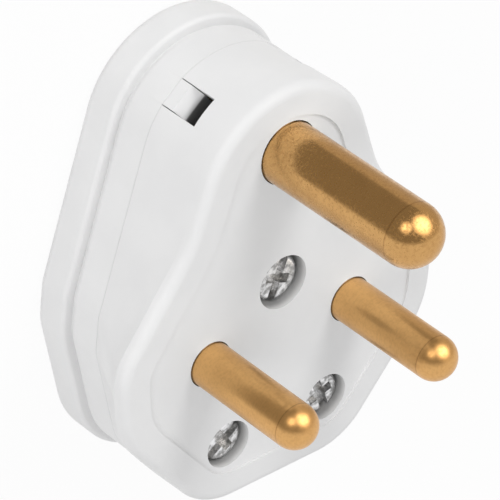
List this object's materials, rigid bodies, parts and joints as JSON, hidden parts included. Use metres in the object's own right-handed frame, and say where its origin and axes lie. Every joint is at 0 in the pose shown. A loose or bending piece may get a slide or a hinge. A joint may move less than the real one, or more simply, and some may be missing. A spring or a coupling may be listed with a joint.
{
  "type": "three-pin plug",
  "caption": "Rewirable round-pin mains plug with a flared white body, screwed rear cover and solid brass pins.",
  "frame": {"origin": "on the flat back face, under the middle of the overall outline", "axes": "+Z along the pins, away from the face; +Y towards the earth pin end, so -Y is the cord end; +X to the right when the pins point at the viewer and the earth pin is at the top"},
  "size_m": [0.0426, 0.0512, 0.0413],
  "materials": {
    "body_plastic": "moulded white, glossy",
    "grip_plastic": "moulded, matt",
    "pin_brass": "turned, lightly tarnished",
    "insert_brass": "turned",
    "screw_steel": "bright zinc plated"
  },
  "bodies": {
    "root": {"front_body": "body_plastic", "rear_cover": "body_plastic", "cord_grip": "grip_plastic", "earth_pin": "pin_brass", "line_pin": "pin_brass", "neutral_pin": "pin_brass", "earth_terminal_screw": "screw_steel", "line_terminal_screw": "screw_steel", "neutral_terminal_screw": "screw_steel", "cover_screw": "screw_steel", "left_grip_screw": "screw_steel", "right_grip_screw": "screw_steel", "cover_insert": "insert_brass", "left_grip_nut": "screw_steel", "right_grip_nut": "screw_steel"}
  },
  "joints": []
}
